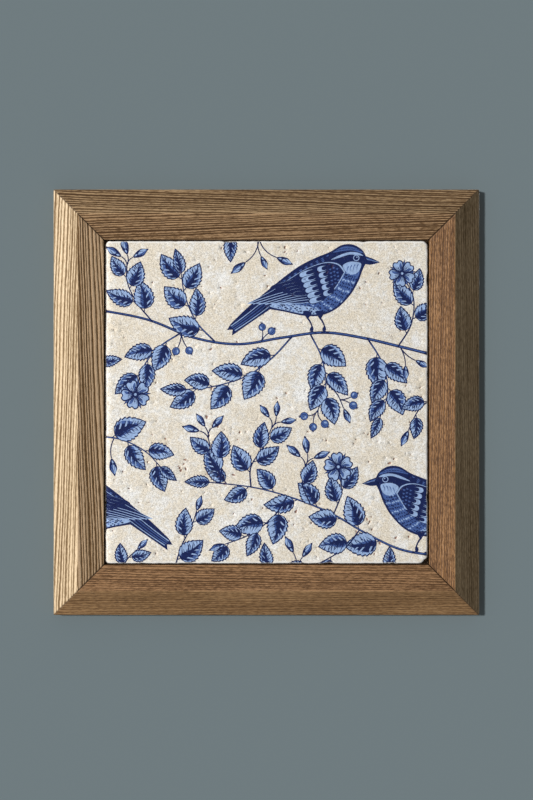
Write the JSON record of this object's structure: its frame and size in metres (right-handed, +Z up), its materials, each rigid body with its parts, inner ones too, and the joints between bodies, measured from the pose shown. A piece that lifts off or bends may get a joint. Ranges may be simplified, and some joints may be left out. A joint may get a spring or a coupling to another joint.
{
  "type": "framed stone tile panel",
  "caption": "Square tumbled travertine tile with a blue bird and branch print, in a mitred wooden frame with a roof-shaped moulding, hung by a sawtooth hanger.",
  "frame": {"origin": "middle of the hanger's bridge, on the face that lies against the wall", "axes": "+X to the viewer's right, +Y into the wall, +Z up; the picture faces -Y"},
  "size_m": [0.33, 0.0256, 0.33],
  "materials": {
    "pale_wood": "matte",
    "brown_wood": "matte",
    "stone": "matte",
    "board": "matte",
    "zinc": "satin"
  },
  "bodies": {
    "root": {"frame_top_rail": "brown_wood", "frame_bottom_rail": "brown_wood", "frame_left_stile": "pale_wood", "frame_right_stile": "brown_wood", "stone_tile": "stone", "backing_board": "board", "hanger_plate": "zinc", "hanger_screw_left": "zinc", "hanger_screw_right": "zinc"}
  },
  "joints": []
}
